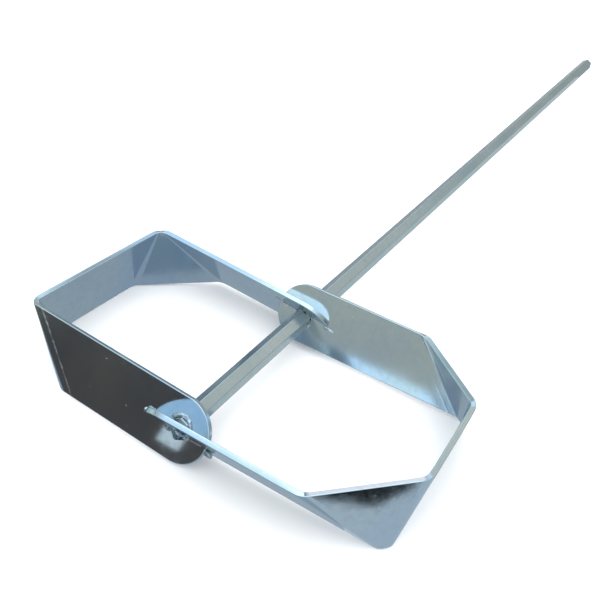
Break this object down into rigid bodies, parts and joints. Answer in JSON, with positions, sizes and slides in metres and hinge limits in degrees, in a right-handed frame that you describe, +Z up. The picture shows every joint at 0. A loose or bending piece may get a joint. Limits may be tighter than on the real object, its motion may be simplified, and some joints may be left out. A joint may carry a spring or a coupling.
{
  "type": "mortar mixing paddle",
  "caption": "Drill-driven mixing paddle: a long hexagonal bar through two bent steel-strip frames that cross and are welded at two hubs.",
  "frame": {"origin": "centre of the bar's drive end, the end that goes into a drill's chuck", "axes": "+X along the bar out of its drive end, away from the frames; +Z up with the paddle lying on a bench; the left frame is towards +Y"},
  "size_m": [0.7758, 0.2628, 0.0394],
  "materials": {
    "zinc_plated_bar": "bright blue zinc plate on drawn bar",
    "zinc_plated_strip": "bright blue zinc plate on rolled strip",
    "weld_metal": "plated weld bead"
  },
  "bodies": {
    "root": {"hex_bar_shaft": "zinc_plated_bar", "left_mixing_frame": "zinc_plated_strip", "right_mixing_frame": "zinc_plated_strip", "tip_hub_bar_weld": "weld_metal", "tip_hub_seam_welds": "weld_metal", "drive_hub_bar_weld": "weld_metal", "drive_hub_seam_welds": "weld_metal"}
  },
  "joints": []
}
